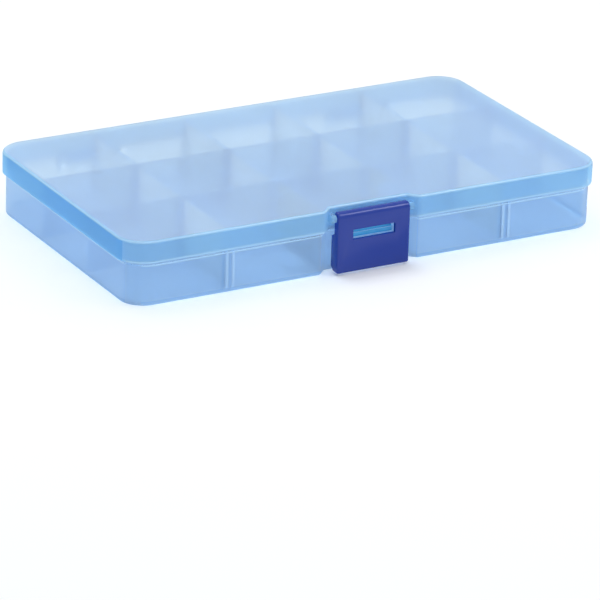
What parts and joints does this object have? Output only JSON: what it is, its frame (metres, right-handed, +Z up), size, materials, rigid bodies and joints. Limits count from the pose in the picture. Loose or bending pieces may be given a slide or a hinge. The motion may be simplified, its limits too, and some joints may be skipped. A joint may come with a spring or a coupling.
{
  "type": "compartment storage box",
  "caption": "Flat box of frosted plastic with loose dividers in rib slots, a lid hinged at the back and a clip latch at the front.",
  "frame": {"origin": "middle of the tray's underside, under the centre of the lid's outline", "axes": "+X along the box, -Y towards the latch, +Y towards the hinges, +Z up"},
  "size_m": [0.175, 0.105, 0.0225],
  "materials": {
    "tray_plastic": "frosted translucent polypropylene, moulded, satin",
    "lid_plastic": "frosted translucent polypropylene, moulded, satin",
    "latch_plastic": "opaque polypropylene, moulded, semi-gloss",
    "divider_plastic": "frosted translucent polypropylene, moulded, satin"
  },
  "bodies": {
    "base": {"base_tray": "tray_plastic", "divider_front_1": "divider_plastic", "divider_front_2": "divider_plastic", "divider_middle_1": "divider_plastic", "divider_middle_2": "divider_plastic", "divider_middle_3": "divider_plastic", "divider_middle_4": "divider_plastic", "divider_rear_1": "divider_plastic", "divider_rear_2": "divider_plastic", "divider_rear_3": "divider_plastic", "divider_rear_4": "divider_plastic"},
    "lid": {"lid": "lid_plastic"},
    "latch": {"latch": "latch_plastic"}
  },
  "joints": [
    {"name": "lid_hinge", "type": "hinge", "parent": "base", "child": "lid", "pos_m": [0, 0.0514, 0.0131], "axis": [-1, 0, 0], "range_deg": [0, 180]},
    {"name": "latch_hinge", "type": "hinge", "parent": "lid", "child": "latch", "pos_m": [0, -0.0492, 0.0191], "axis": [-1, 0, 0], "range_deg": [0, 110]}
  ]
}
